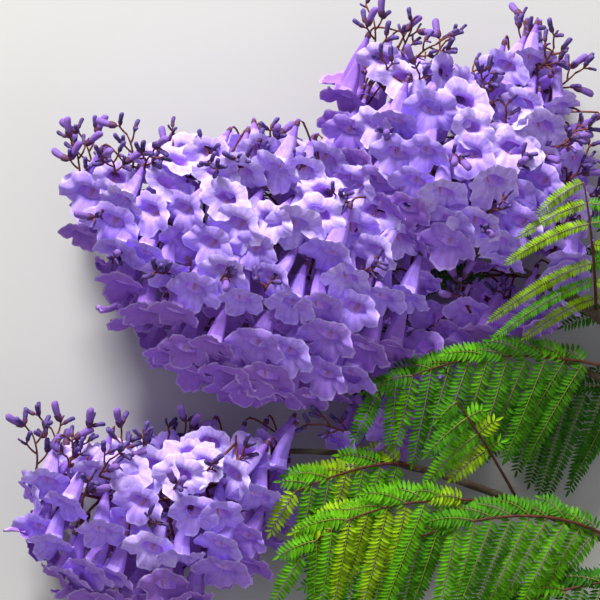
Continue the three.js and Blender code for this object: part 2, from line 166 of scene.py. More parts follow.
# A flower's tube: shares of its length, counted back from its open face, and its width there as a
# share of the mouth's. The lining starts at the mouth as well. The tube is grooved, and flatter and
# wider than round, and a thread lies along its floor
TUBE_BEND = 0.34
MOUTH_SHARE = 0.17
TUBE = ((1.0, 0.18), (0.92, 0.2), (0.83, 0.3), (0.72, 0.47), (0.58, 0.64), (0.44, 0.78), (0.3, 0.9),
        (MOUTH_SHARE, 1.0))
LINING = ((MOUTH_SHARE, 1.0), (0.28, 0.86), (0.42, 0.7), (0.58, 0.52))
GROOVE, FLATTER, WIDER = 0.06, 0.36, 0.12
THREAD_RADII = (0.0003, 0.0003, 0.0005, 0.0012, 0.0004)
THREAD_SIDES = 5
THREAD_DROPS = ((0.7, 0.0), (0.42, 0.0065), (0.2, 0.0045))

# Balls that fill a flower, by which flowers keep clear of each other: shares and radii in metres.
# Places in each layer, a share of the spike's reach, are tried until enough flowers are set. A tuft
# of buds keeps such balls free as well, at these distances behind its crown
FLOWER_BALLS = ((0.04, 0.0112), (0.4, 0.0078), (0.75, 0.0038))
CLEARANCE = 0.84
TUFT_ROOM = (0.04, 0.025, 0.006)
LAYERS = (1.0, 0.9, 0.78, 0.64)
TRIES = 6

# Where on a flower's tube its calyx sits, and where a side stem ends behind its flower
STALK_SHARE = 0.97
STEM_SHARE = 0.98

# The five lobes, each with its angle from the top, the angle that it turns outwards and its length:
# the two of the upper lip fold back a little, and the lower lip reaches forward. A lobe has columns
# and rows of points, is bent in fine steps, and is notched down to a share of its length
LOBES = ((34, 110, 0.82), (105, 92, 1.04), (180, 70, 1.22), (255, 92, 1.04), (326, 110, 0.82))
LOBE_COLUMNS = 8
LOBE_ROWS = (0.13, 0.3, 0.5, 0.7, 0.88, 1.0)
LOBE_STEPS = 61
NOTCH = 0.62
FLOWER_KINDS = 8

# The finishes of a petal, in order. The floor of the throat is paler in its own colour, and the hood
# is paler as a painted highlight, as far round as these cosines of the angle from the top
# The rim, the last row of the lobes, is paler as a painted highlight along their edges
PETAL_ZONES = ("base", "tube", "lobe", "rim", "patch")
HOOD_ROWS = slice(6, 9)
HOOD_HALF, THROAT_FLOOR = 0.84, -0.72
# The lobe tints run from pale, painted light, to violet, painted shade, besides some random spread
PETAL_TINTS = ("pale", "lilac", "lavender", "violet")
GREENS = ("lime", "bright", "middle", "deep")

# A bud and a calyx: shares of their height and of their radius, with the height and radius of a calyx
# on a flower and on a bud. Buds are dealt these scales, and one past the swollen scale is paler
BUD = ((0, 0.6), (0.12, 0.72), (0.32, 0.84), (0.55, 0.95), (0.78, 1), (0.92, 0.9), (0.98, 0.6), (1, 0.05))
BUD_SIDES = 8
BUD_SCALES = (0.5, 0.7, 0.9, 1.0, 1.0, 1.15, 1.6)
SWOLLEN = 1.5
CUP = ((-0.3, 0.4), (0.0, 0.8), (0.5, 1.0), (1.0, 1.05))
CUP_SIDES = 10
FLOWER_CUP, BUD_CUP = (0.0036, 0.0024), (0.0026, 0.0018)

# The materials of the buds, in order
BUD_SKIN, BUD_CALYX, BUD_STALK, SWOLLEN_SKIN = range(4)

# Radii of thin stalks at their two ends: a spike's axis, a spray up to its crown and past it, the stalk
# of a head of buds and of a single bud, and the rib of a pinna
AXIS_RADII = (0.002, 0.001)
CROWN_RADII, SPRAY_RADII = (0.0012, 0.001), (0.001, 0.0007)
HEAD_RADII, BUD_RADII = (0.0009, 0.0007), (0.0006, 0.0008)
PINNA_RADII = (0.00055, 0.00025)

# Relief of a limb: distance between its rings, the height and reach of its knots and its collar, and
# the rings of its cut end, with how far each sinks in
RING_STEP = 0.0022
LIMB_SIDES = 28
KNOT, COLLAR = (0.16, 0.005), (0.3, 0.006)
CUT_RINGS = (1, 0.93, 0.5, 0.16, 0.0)
CUT_SINK = (0.0006, 0.0006, 0.0002, 0.0)

# How far the picture reaches across and at which height, how high the camera stands, and how far the
# floor reaches
PICTURE_WIDTH = 0.48
PICTURE_HEIGHT = 0.06
CAMERA_HEIGHT = 2.4
SENSOR = 36.0
FLOOR_REACH = 4

CUT_END = next(mount for mount in frame["record"]["mounts"] if mount["name"] == "cut_end")
SHIFT = np.array(CUT_END["pos_m"]) - MM * np.array(LIMBS["main_stem"]["path"][0])


def unit(v):
    return v / np.linalg.norm(v, axis=-1, keepdims=True)


def across(direction):
    """The sideways and upward directions of something that points along a direction."""
    up = FACING if abs(direction[2]) < STEEP else HANG
    side = unit(np.cross(direction, up))
    return side, np.cross(side, direction)


def turn_to(direction):
    """A turn that takes +Z to a direction."""
    return np.stack([*across(direction), direction], axis=1)


def scatter(dice, reach):
    return np.array([dice.uniform(-reach, reach) for _ in range(3)])


class Path:
    """A Bezier curve, in metres, that is walked evenly along its length."""

    def __init__(self, control):
        self.control = np.array(control, float)
        self.marks = np.linspace(0, 1, CURVE_MARKS)
        run = np.linalg.norm(np.diff(self.bezier(self.control, self.marks), axis=0), axis=1)
        self.length = run.sum()
        self.shares = np.concatenate([[0], np.cumsum(run)]) / self.length

    @staticmethod
    def bezier(control, u):
        degree = len(control) - 1
        u = np.asarray(u, float)[..., None]
        return sum(
            math.comb(degree, i) * (1 - u) ** (degree - i) * u**i * point
            for i, point in enumerate(control))

    def at(self, share):
        return self.bezier(self.control, np.interp(share, self.shares, self.marks))

    def tangent(self, share):
        steps = np.diff(self.control, axis=0)
        return unit(self.bezier(steps, np.interp(share, self.shares, self.marks)))


def grow_paths():
    paths = {}
    for name, spec in FORMS.items():
        control = [MM * np.array(point) + SHIFT for point in spec["path"]]
        if "parent" in spec:
            control.insert(0, paths[spec["parent"]].at(spec["at"]))
        paths[name] = Path(control)
    return paths


PATHS = grow_paths()


class Heap:
    """Copies of small shapes, gathered into one mesh."""

    def __init__(self):
        self.points, self.maps, self.corners, self.sizes, self.finishes = [], [], [], [], []
        self.count = 0

    def add(self, points, faces, finishes, maps=None):
        """Faces is a list of index arrays, and finishes holds a material number for each face."""
        points = np.asarray(points, float).reshape(-1, 3)
        self.points.append(points)
        self.maps.append(np.zeros((len(points), 2)) if maps is None else maps)
        for group, finish in zip(faces, finishes):
            self.corners.append((group + self.count).ravel())
            self.sizes.append(np.full(len(group), group.shape[1]))
            self.finishes.append(np.broadcast_to(finish, len(group)))
        self.count += len(points)

    def piece(self, name, materials, slot, nodes, smooth=True):
        """The heap as one object that stands for CAD nodes, if any."""
        corners = np.concatenate(self.corners)
        sizes = np.concatenate(self.sizes)
        mesh = bpy.data.meshes.new(name)
        mesh.vertices.add(self.count)
        mesh.vertices.foreach_set("co", np.concatenate(self.points).ravel())
        mesh.loops.add(len(corners))
        mesh.loops.foreach_set("vertex_index", corners)
        mesh.polygons.add(len(sizes))
        mesh.polygons.foreach_set("loop_start", np.cumsum(sizes) - sizes)
        mesh.polygons.foreach_set("material_index", np.concatenate(self.finishes))
        mesh.polygons.foreach_set("use_smooth", np.full(len(sizes), smooth))
        spread = mesh.uv_layers.new(name="spread")
        spread.uv.foreach_set("vector", np.concatenate(self.maps)[corners].ravel())
        mesh.update(calc_edges=True)
        for material in materials:
            mesh.materials.append(material)
        piece = bpy.data.objects.new(name, mesh)
        bpy.context.scene.collection.objects.link(piece)
        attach(piece, "root")
        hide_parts(*nodes)


def band(rows, columns):
    """Quads between rows of points, each row closed on itself."""
    here = np.arange((rows - 1) * columns)
    beside = here - here % columns + (here + 1) % columns
    return np.stack([here, beside, beside + columns, here + columns], axis=1)


def sweep(path, radii, sides, shares):
    """Rings of points round a path, and their outward directions."""
    centres, tangents = path.at(shares), path.tangent(shares)
    normal = across(tangents[0])[1]
    normals = []
    for tangent in tangents:
        normal = unit(normal - tangent * np.dot(normal, tangent))
        normals.append(normal)
    normals = np.array(normals)
    sideways = np.cross(tangents, normals)
    angle = np.linspace(0, 2 * math.pi, sides, endpoint=False)[None, :, None]
    outward = np.cos(angle) * normals[:, None] + np.sin(angle) * sideways[:, None]
    return centres[:, None] + outward * np.reshape(radii, (-1, 1, 1)), outward


def sleeve(heap, points, path, shares, finish):
    """Rings of points along a path as one skin, closed at its tip."""
    rings, sides = points.shape[:2]
    spread = np.stack(np.meshgrid(np.arange(sides) / sides, shares * path.length), -1).reshape(-1, 2)
    tip = np.arange((rings - 1) * sides, rings * sides)[None, :]
    heap.add(points, [band(rings, sides), tip], [finish, finish], spread)


def tube(heap, path, radii, sides, steps, finish):
    """A tube that tapers between two radii."""
    shares = np.linspace(0, 1, steps + 1)
    points, _ = sweep(path, np.interp(shares, (0, 1), radii), sides, shares)
    sleeve(heap, points, path, shares, finish)


def along(sizes, t):
    """The value at t of a smooth run through the sizes at the foot, middle and tip."""
    foot, middle, tip = (MM * size for size in sizes)
    return foot * (1 - t) * (1 - 2 * t) + middle * 4 * t * (1 - t) + tip * t * (2 * t - 1)


def even_share(i, count):
    return (2 * i + 1) / count - 1


def upper_side(tangents):
    """The way across a spike to its upper side in the picture."""
    aside = unit(np.cross(FACING, tangents))
    return aside * np.sign(aside[..., 1:2])


def spike_spot(name, share, angle, reach_share=1.0):
    """A point on the outside of a spike's flowers, with its outward direction."""
    spec, path = SPIKES[name], PATHS[name]
    t = (1 + share) / 2
    tangent = path.tangent(t)
    aside = upper_side(tangent)
    round_off = (1 - abs(share) ** 3) ** (1 / 3)
    reach = along(spec["above"] if math.cos(angle) > 0 else spec["below"], t)
    depth = along(spec["depth"], t)
    point = path.at(t) + round_off * reach_share * (
        math.cos(angle) * reach * aside + math.sin(angle) * depth * FACING)
    normal = unit(
        aside * math.cos(angle) * round_off / reach
        + FACING * math.sin(angle) * round_off / depth
        + tangent * share * abs(share) / (0.5 * path.length))
    return point, normal, t


def flower_turn(normal, loose):
    """The turn of a flower that opens outwards and down, its upper lip against the hang."""
    hang = 0.85 + 0.4 * float(normal @ HANG)
    direction = unit(0.75 * normal + hang * HANG + 0.4 * FACING + 0.6 * loose)
    side = unit(np.cross(-HANG, direction))
    return np.stack([side, np.cross(direction, side), direction], axis=1)


def tube_line(share, length):
    share = np.asarray(share, float)
    return length * np.stack([0 * share, TUBE_BEND * share**2, -share], axis=-1)


@functools.cache
def stems(name):
    """The side stems of a spike. Each ends where a flower of its outer layer would have its calyx."""
    length = bpy.context.scene.flower_sizes.length
    lines = []
    for k in range(SPIKES[name]["stems"]):
        share = 0.94 * even_share(k, SPIKES[name]["stems"])
        point, normal, t = spike_spot(name, share, (k + 0.25) * GOLDEN_ANGLE)
        end = point + flower_turn(normal, 0 * normal) @ tube_line(STEM_SHARE, length)
        end[2] = max(end[2], STEM_ROOM)
        root = PATHS[name].at(max(t - 0.08, 0.0))
        bulge = 0.5 * (root + end) + 0.12 * np.linalg.norm(end - root) * PATHS[name].tangent(t)
        lines.append(Path([root, bulge, end]))
    return lines


def stem_foot(name, point):
    """Where a stalk that leads to a point leaves the nearest stem."""
    shares = np.linspace(0.25, 0.92, 12)
    marks = np.stack([path.at(shares) for path in stems(name)])
    lengths = np.array([[path.length] for path in stems(name)])
    lean = np.linalg.norm(marks - point, axis=-1) + 0.25 * lengths * (1 - shares)
    return marks.reshape(-1, 3)[lean.argmin()]


def edge_sprays(name):
    """The sprays of buds past a spike's edge and tip: each one's foot, aim and share of length."""
    spec = SPIKES[name]
    dice = random.Random(spec["seed"] + SPRAY_SEED)
    sprays = []
    for i in range(spec["sprays"]):
        share = 1 - 1.5 * ((i + dice.uniform(0.1, 0.7)) / spec["sprays"]) ** 1.4
        point, normal, _ = spike_spot(name, share, dice.uniform(-0.9, 1.1), 0.97)
        aim = unit(normal - 0.2 * HANG + 0.2 * FACING + scatter(dice, 0.4))
        sprays.append((point, aim, 0.45 + 0.9 * max(0.0, share)))
    return sprays


def tufts(name):
    """The short sprays of buds that stand among a spike's flowers."""
    spec = SPIKES[name]
    dice = random.Random(spec["seed"] + TUFT_SEED)
    found = []
    for i in range(spec["tufts"]):
        share = 0.86 * even_share(i, spec["tufts"]) + dice.uniform(-0.08, 0.08)
        point, normal, _ = spike_spot(name, share, dice.uniform(0.35, 2.3), 0.86)
        found.append((point, unit(normal - 0.8 * HANG + 0.2 * FACING), 0.4))
    return found


@functools.cache
def flower_places(name):
    """The open flowers of a spike, in layers from its outside inwards, clear of each other: the place,
    turn, size, kind and tint of each."""
    spec, length = SPIKES[name], bpy.context.scene.flower_sizes.length
    dice = random.Random(spec["seed"])
    shares, radii = np.array(FLOWER_BALLS).T
    least = CLEARANCE * (radii[:, None] + radii[None])
    depths = np.array(TUFT_ROOM)[:, None]
    taken = np.array([crown - depths * aim for crown, aim, _ in tufts(name)])
    places = []
    for layer in LAYERS:
        tries = TRIES * spec["flowers"]
        order = list(range(tries))
        dice.shuffle(order)
        for i in order:
            point, normal, t = spike_spot(name, even_share(i, tries), i * GOLDEN_ANGLE, layer)
            fall = float((point - PATHS[name].at(t)) @ HANG)
            turn, size = flower_turn(normal, scatter(dice, 1)), dice.uniform(0.8, 1.03)
            kind, tint = dice.randrange(FLOWER_KINDS), pick_tint_and_painted_shade(spec, normal, fall, layer, dice)
            lowest = (flower_shape(kind)[0][0] @ (size * turn[2])).min()
            point = point + FACING * max(0.0, PETAL_ROOM - lowest - point[2])
            balls = point + size * tube_line(shares, length) @ turn.T
            gaps = np.linalg.norm(taken[:, :, None] - balls[None, None], axis=-1)
            if (gaps < least).any():
                continue
            taken = np.concatenate([taken, balls[None]])
            places.append((point, turn, size, kind, tint))
            if len(places) == spec["flowers"]:
                return places
    return places


def pick_tint_and_painted_shade(spec, normal, fall, layer, dice):
    """Painted light and shade in the tints: paler flowers on the side that faces the light, deeper ones in
    painted shade inside and far below the axis, with a random spread.
    """
    depth = 1.5 + spec.get("shade", 0.0) - 2.0 * float(normal @ unit(0.55 * FACING - HANG))
    depth += 10.0 * fall + 3.0 * (1 - layer)
    return PETAL_TINTS[int(np.clip(round(depth + dice.gauss(0, 0.6)), 0, len(PETAL_TINTS) - 1))]


def tube_rings(profile, angle):
    """Rings of points round a flower's tube, slightly flat and with five shallow grooves."""
    sizes = bpy.context.scene.flower_sizes
    share, width = np.array(profile).T[..., None, None]
    up = unit(np.concatenate([0 * share, 1 + 0 * share, 2 * TUBE_BEND * share], axis=-1))
    swell = np.clip((0.85 - share) / 0.3, 0, 1)
    cos, sin = np.cos(angle)[None, :, None], np.sin(angle)[None, :, None]
    groove = 1 - GROOVE * swell * np.cos(len(LOBES) * angle)[None, :, None]
    rim = up * cos * (1 - FLATTER * swell) + np.array((1.0, 0, 0)) * sin * (1 + WIDER * swell)
    return tube_line(share[:, 0, 0], sizes.length)[:, None] + rim * groove * width * sizes.mouth_radius


def lobe_column(kind, angle, foot):
    """The points of one column of a lobe, from the tube's rim out to the ruffled edge."""
    sizes = bpy.context.scene.flower_sizes
    gaps = [(math.degrees(angle) - lobe[0] + 180) % 360 - 180 for lobe in LOBES]
    k = int(np.argmin(np.abs(gaps)))
    off = gaps[k] * len(LOBES) / 180
    own = random.Random(50 * kind + k)
    rows = np.array(LOBE_ROWS)
    turn = LOBES[k][1] + own.uniform(-12, 12)
    beside = LOBES[(k + (1 if off > 0 else -1)) % len(LOBES)][1]
    turn = math.radians(turn + (beside - turn) * 0.5 * max(0.0, (abs(off) - 0.45) / 0.55) ** 2)
    longest = sizes.lobe_length * LOBES[k][2] * own.uniform(0.9, 1.1)
    reach = longest * (NOTCH + (1 - NOTCH) * max(0.0, 1 - abs(off) ** 2.5) ** 0.6)
    phases = [own.uniform(0, 6.28) for _ in range(3)]
    reach *= 1 + 0.05 * math.sin(9 * off + phases[0])
    ruffle = sizes.ruffle * rows**2 * (
        math.sin(3.6 * off + phases[1]) + 0.6 * math.sin(9.5 * off + phases[2]) + 0.9 * abs(off) ** 3)
    upward = unit(np.array((0, 1, 2 * TUBE_BEND * MOUTH_SHARE)))
    onward = np.cross((1.0, 0, 0), upward)
    outward = math.sin(angle) * np.array((1.0, 0, 0)) + math.cos(angle) * upward
    fine = np.linspace(0, 1, LOBE_STEPS)
    bends = turn * (1 - (1 - fine) ** 3)
    rise = np.interp(rows, fine, np.cumsum(np.sin(bends)) / LOBE_STEPS) * reach
    ahead = np.interp(rows, fine, np.cumsum(np.cos(bends)) / LOBE_STEPS) * reach
    bend = np.interp(rows, fine, bends)
    rise, ahead = rise + ruffle * np.cos(bend), ahead - ruffle * np.sin(bend)
    return foot + outward * rise[:, None] + onward * ahead[:, None]


@functools.cache
def flower_shape(kind):
    """One kind of trumpet flower, opening along +Z: its outside, and its lining with the thread."""
    sizes = bpy.context.scene.flower_sizes
    columns = LOBE_COLUMNS * len(LOBES)
    angle = np.arange(columns) * 2 * math.pi / columns
    middles = np.cos(angle + math.pi / columns)
    rings = tube_rings(TUBE, angle)
    lobes = np.stack([lobe_column(kind, a, rings[-1, j]) for j, a in enumerate(angle)], axis=1)
    outside = np.concatenate([rings, lobes])
    rows = len(outside)
    zones = np.repeat([0] * 3 + [1] * (len(TUBE) - 4) + [2] * (len(LOBE_ROWS) - 1) + [3], columns)
    # The hood's pale patch is a painted highlight
    zones.reshape(-1, columns)[HOOD_ROWS, middles > HOOD_HALF] = PETAL_ZONES.index("patch")
    spread = np.stack(np.meshgrid(np.arange(columns) / columns, np.arange(rows) / rows), -1)

    lining = tube_rings(LINING, angle)
    stand = Path([tube_line(share, sizes.length) - (0, drop, 0) for share, drop in THREAD_DROPS])
    thread, _ = sweep(stand, THREAD_RADII, THREAD_SIDES, np.linspace(0, 1, len(THREAD_RADII)))
    return (
        (outside.reshape(-1, 3), band(rows, columns)[:, ::-1], zones, spread.reshape(-1, 2)),
        (np.concatenate([lining.reshape(-1, 3), thread.reshape(-1, 3)]),
         [band(len(LINING), columns), band(*thread.shape[:2]) + lining[..., 0].size],
         [np.tile(middles < THROAT_FLOOR, len(LINING) - 1).astype(int), 2],
         np.concatenate([spread[:len(LINING)].reshape(-1, 2), np.zeros((thread[..., 0].size, 2))])))


def circle(sides):
    """Points round +Z."""
    angle = np.arange(sides) * 2 * math.pi / sides
    return np.stack([np.cos(angle), np.sin(angle), 0 * angle], axis=1)


def bud_shape(length, radius):
    """A club-shaped closed bud that stands up along +Z."""
    heights, widths = np.array(BUD).T * ((length,), (radius,))
    bend = 0.12 * length * (heights / length) ** 2
    centres = np.stack([bend, 0 * heights, heights], axis=1)
    return centres[:, None] + circle(BUD_SIDES) * widths[:, None, None]


def cup_shape(length, radius):
    """A small calyx that opens along +Z, with teeth round its rim."""
    heights, widths = np.array(CUP).T[..., None] * (((length,),), ((radius,),))
    heights = np.repeat(heights, CUP_SIDES, axis=1)
    heights[-1] *= 1 + 0.25 * (np.arange(CUP_SIDES) % 2)
    return circle(CUP_SIDES) * widths[..., None] + FACING * heights[..., None]


BUD_FACES = band(len(BUD), BUD_SIDES)
CUP_FACES = band(len(CUP), CUP_SIDES)


class Value:
    """A socket of a finish. An expression on values adds its Math nodes."""

    def __init__(self, finish, socket):
        self.finish, self.socket = finish, socket

    def math(self, operation, *values):
        return self.finish.node("ShaderNodeMath", {"operation": operation}, dict(enumerate(values)))

    def __add__(self, other):
        return self.math("ADD", self, other)

    def __mul__(self, other):
        return self.math("MULTIPLY", self, other)

    __radd__ = __add__
    __rmul__ = __mul__


class Finish:
    """A material and the shader nodes that make its finish."""

    def __init__(self, name, **fixed):
        self.material = bpy.data.materials.new(name)
        self.material.use_nodes = True
        self.tree = self.material.node_tree
        self.shader = self.tree.nodes["Principled BSDF"]
        for socket, value in fixed.items():
            key = socket.replace("_", " ").title().replace("Ior", "IOR")
            self.shader.inputs[key].default_value = value

    def node(self, kind, settings, sockets, output=0):
        """A node with its settings, and the values or links of its sockets."""
        made = self.tree.nodes.new(kind)
        for key, value in settings.items():
            if key == "stops":
                for element, (place, level) in zip(made.color_ramp.elements, value):
                    element.position, element.color = place, (level, level, level, 1)
            else:
                setattr(made, key, value)
        for key, value in sockets.items():
            if isinstance(value, Value):
                self.tree.links.new(value.socket, made.inputs[key])
            else:
                made.inputs[key].default_value = value
        return Value(self, made.outputs[output])

    def noise(self, scale, detail=3.0, stretch=(1, 1, 1), source="Object"):
        """Noise from 0 to 1 over the surface, in the piece's own or its spread coordinates."""
        place = self.node("ShaderNodeTexCoord", {}, {}, source)
        place = self.node("ShaderNodeMapping", {}, {"Vector": place, "Scale": stretch})
        return self.node("ShaderNodeTexNoise", {}, {"Vector": place, "Scale": scale, "Detail": detail})

    def ramp(self, value, low, high):
        """A value drawn apart between two stops, each a place with its shade."""
        return self.node("ShaderNodeValToRGB", {"stops": (low, high)}, {0: value})

    def mix(self, factor, a, b):
        """A colour between two, each a value or a plain colour."""
        a, b = (c if isinstance(c, Value) else (*c, 1.0) for c in (a, b))
        return self.node("ShaderNodeMix", {"data_type": "RGBA"}, {0: factor, 6: a, 7: b}, 2)

    def mottle(self, scale):
        """Noise drawn apart into dark and light patches."""
        return self.ramp(self.noise(scale, 4.0), (0.38, 0.0), (0.62, 1.0))

    def feed(self, socket, value):
        self.tree.links.new(value.socket, self.shader.inputs[socket])

    def tone(self, mask, colour, dark, light):
        """The base colour, darker and lighter by a mask."""
        self.feed("Base Color", self.mix(mask, shade(colour, dark), shade(colour, light)))

    def bump(self, height, depth, strength=1.0):
        """Relief of a real depth, in metres."""
        self.feed("Normal", self.node(
            "ShaderNodeBump", {}, {"Strength": strength, "Distance": depth, "Height": height}))


def shade(colour, factor):
    """A colour made darker or lighter."""
    return tuple(min(1.0, c * factor) for c in colour)


def blend(a, b, share):
    """A colour between two."""
    return tuple(x + (y - x) * share for x, y in zip(a, b))


def petal_finish(name, colour, colours, painted_glow=0.06, streaks=0.8):
    """A soft petal: fine mauve veins run along it, its tone is a little uneven, and a faint glow is painted
    light that stands in for the light that comes through it."""
    finish = Finish(name, roughness=0.65, specular_ior_level=0.12,
                    subsurface_weight=0.15, subsurface_scale=0.004,
                    emission_color=(*colours.painted_glow, 1), emission_strength=painted_glow)
    veins = finish.noise(40.0, 2.0, (1.0, 0.05, 1.0), "UV")
    cloud = finish.noise(240.0, 2.0)
    tone = finish.ramp(0.6 * veins + 0.4 * cloud, (0.36, 0.0), (0.62, 1.0))
    dark = blend(shade(colour, streaks), colours.mauve, 0.3)
    finish.feed("Base Color", finish.mix(tone, dark, shade(colour, 1.06)))
    finish.bump(veins, 0.0003, 0.7)
    return finish.material


def petal_materials():
    """A finish for each zone of a petal in each tint."""
    colours = bpy.context.scene.flower_colours
    materials = []
    for tint in PETAL_TINTS:
        lobe = getattr(colours, tint)
        zones = {
            # The tube zones are deeper and more mauve, partly the tube's own colour and partly painted shade
            # for tubes inside the mass
            "base": colours.tube, "tube": blend(lobe, colours.tube, 0.5),
            # The rim is the lobe's colour paled towards white, a painted highlight along the edges
            "lobe": lobe, "rim": blend(lobe, (1, 1, 1), 0.2),
            # The patch on the hood is a painted highlight
            "patch": blend(lobe, colours.patch, 0.18),
        }
        for zone, colour in zones.items():
            streaks = 0.6 if zone in ("base", "tube") else 0.8
            materials.append(petal_finish(f"petal_{zone}_{tint}", colour, colours, streaks=streaks))
    return materials


def throat_materials():
    """The lining of the tube, the paler patch on its floor and the hairy thread."""
    colours = bpy.context.scene.flower_colours
    patch = blend(colours.throat, colours.patch, 0.4)
    thread = Finish("throat_thread", roughness=0.7)
    thread.tone(thread.noise(900.0), colours.thread, 0.7, 1.15)
    # The lining glows more strongly: painted light in the shaded throat
    return [petal_finish("throat", colours.throat, colours, 0.14),
            petal_finish("throat_patch", patch, colours, 0.14), thread.material]


def green_finish(name, colour):
    """A satin leaflet, mottled, with a raised network of veins."""
    finish = Finish(name, roughness=0.65, specular_ior_level=0.08)
    finish.tone(finish.mottle(150.0), colour, 0.68, 1.18)
    finish.bump(finish.noise(1400.0, 2.0), 0.00015, 0.5)
    return finish.material


def twig_finish(name, dark, light, scale=420.0):
    """A thin stalk or a bud, mottled and a little rough."""
    finish = Finish(name, roughness=0.62, specular_ior_level=0.2)
    finish.feed("Base Color", finish.mix(finish.mottle(scale), dark, light))
    finish.bump(finish.noise(2.5 * scale, 3.0), 0.0002, 0.7)
    return finish.material


def bark_finish(colours):
    """Young bark: brown, with grey skin, fine cracks along it and pale raised pores."""
    finish = Finish("bark", roughness=0.8)
    skin = finish.ramp(finish.noise(90.0, 5.0), (0.4, 0.0), (0.62, 1.0))
    cracks = finish.ramp(finish.noise(30.0, 6.0, (6.0, 60.0, 1.0), "UV"), (0.42, 0.0), (0.52, 1.0))
    pores = finish.node("ShaderNodeTexVoronoi", {}, {"Scale": 330.0, "Randomness": 1.0}, "Distance")
    pores = finish.ramp(pores, (0.12, 1.0), (0.2, 0.0))
    base = finish.mix(skin, colours.bark, colours.skin)
    base = finish.mix(cracks, shade(colours.bark, 0.5), base)
    finish.feed("Base Color", finish.mix(0.55 * pores, base, colours.pores))
    finish.feed("Roughness", 0.68 + 0.2 * skin)
    finish.bump(0.6 * cracks + 0.3 * pores + 0.25 * finish.noise(700.0, 4.0), 0.0006, 0.8)
    return finish.material


def cut_finish(colour):
    """The cut across the stem: pale wood with a fine grain."""
    finish = Finish("cut_wood", roughness=0.75)
    grain = finish.noise(600.0, 5.0)
    finish.tone(grain, colour, 0.78, 1.1)
    finish.bump(grain, 0.0003, 0.6)
    return finish.material


def paint(name, description, default):
    """A setting that is a colour."""
    return bpy.props.FloatVectorProperty(
        name=name, description=description, default=default, size=3, min=0, max=1, subtype="COLOR")


def metres(name, description, default):
    """A setting that is a length."""
    return bpy.props.FloatProperty(
        name=name, description=description, default=default, min=0.0001, precision=4, unit="LENGTH")


def power(name, description, default):
    """A setting that is the power of a light."""
    return bpy.props.FloatProperty(name=name, description=description, default=default, min=0)


class FlowerSizes(bpy.types.PropertyGroup):
    """Sizes of the open flowers and the buds."""

    length: metres("Length", "From the calyx to the mouth", 0.047)
    mouth_radius: metres("Mouth radius", "Half the width of the tube at its mouth", 0.0086)
    lobe_length: metres("Lobe length", "From the mouth to the edge of a lobe", 0.0170)
    ruffle: metres("Ruffle", "Height of the waves along a lobe's edge", 0.0015)
    bud_length: metres("Bud length", "Length of a closed bud", 0.0102)
    bud_radius: metres("Bud radius", "Half the width of a closed bud", 0.0019)
    spray_length: metres("Spray length", "How far a spray of buds stands out", 0.0220)
    stem_radius: metres("Stem radius", "Half the thickness of a side stem", 0.0015)
    stalk_radius: metres("Stalk radius", "Half the thickness of a flower's stalk", 0.0007)


class FlowerColours(bpy.types.PropertyGroup):
    """Colours of the flowers, buds and stalks."""

    # The lobe tints are also painted light and shade: pale for flowers that face the light, lavender and
    # violet for flowers in painted shade
    pale: paint("Pale", "Lobes in full light", (0.57, 0.45, 1.0))
    lilac: paint("Lilac", "Lobes of most flowers", (0.45, 0.32, 0.98))
    lavender: paint("Lavender", "Lobes of deeper flowers", (0.37, 0.225, 0.78))
    violet: paint("Violet", "Lobes of the deepest flowers", (0.285, 0.14, 0.56))
    mauve: paint("Mauve", "Veins along petals and tubes", (0.38, 0.15, 0.58))
    # Painted light: the colour of the faint glow on petals that stands in for light coming through them
    painted_glow: paint("Glow", "Light that comes through a petal", (0.40, 0.15, 0.66))
    # The tube colour is partly the tube's own colour and partly painted shade, deeper and more mauve for
    # tubes inside the mass
    tube: paint("Tube", "The outside of the tube near its calyx", (0.26, 0.14, 0.62))
    throat: paint("Throat", "The inside of the tube", (0.48, 0.30, 0.84))
    # The patch colour is partly the throat floor's own paler colour and partly a painted highlight on the
    # hood
    patch: paint("Patch", "The pale patch on the hood and in the throat", (0.86, 0.78, 0.98))
    thread: paint("Thread", "The hairy thread in the throat", (0.98, 0.62, 0.40))
    bud: paint("Bud", "Closed buds", (0.080, 0.046, 0.19))
    calyx: paint("Calyx", "Calyx cups", (0.085, 0.03, 0.07))
    stalk: paint("Stalk", "Stalks and side stems", (0.12, 0.035, 0.028))


class LeafSizes(bpy.types.PropertyGroup):
    """Sizes of the leaves."""

    pinna_length: metres("Pinna length", "Length of the longest pinna", 0.076)
    pinna_spacing: metres("Pinna spacing", "Distance between pairs of pinnae", 0.0155)
    leaflet_length: metres("Leaflet length", "Length of a middle leaflet", 0.0102)
    leaflet_spacing: metres("Leaflet spacing", "Distance between pairs of leaflets", 0.0031)
    rib_radius: metres("Rib radius", "Half the thickness of a leaf's rib", 0.0012)


class LeafColours(bpy.types.PropertyGroup):
    """Greens of the leaves, and the colour of their ribs."""

    # The greens are partly painted light and shade: lime and bright for leaflets in light, deep for leaflets
    # in shade
    lime: paint("Lime", "Young leaflets in full light", (0.24, 0.42, 0.006))
    bright: paint("Bright", "Leaflets in light", (0.092, 0.33, 0.005))
    middle: paint("Middle", "Leaflets of older leaves", (0.052, 0.215, 0.006))
    deep: paint("Deep", "Leaflets in shade", (0.030, 0.14, 0.008))
    rib: paint("Rib", "Ribs of the leaves", (0.085, 0.026, 0.014))
    vein: paint("Vein", "Thin ribs of the pinnae", (0.20, 0.24, 0.03))


class BarkSettings(bpy.types.PropertyGroup):
    """Relief and colours of the woody limbs."""

    relief: metres("Relief", "Height of the ridges and swellings", 0.0006)
    bark: paint("Bark", "The bark's brown", (0.105, 0.058, 0.026))
    skin: paint("Skin", "The grey skin over the bark", (0.22, 0.18, 0.11))
    pores: paint("Pores", "Pale raised pores", (0.42, 0.34, 0.26))
    wood: paint("Wood", "The cut across the stem", (0.70, 0.55, 0.34))


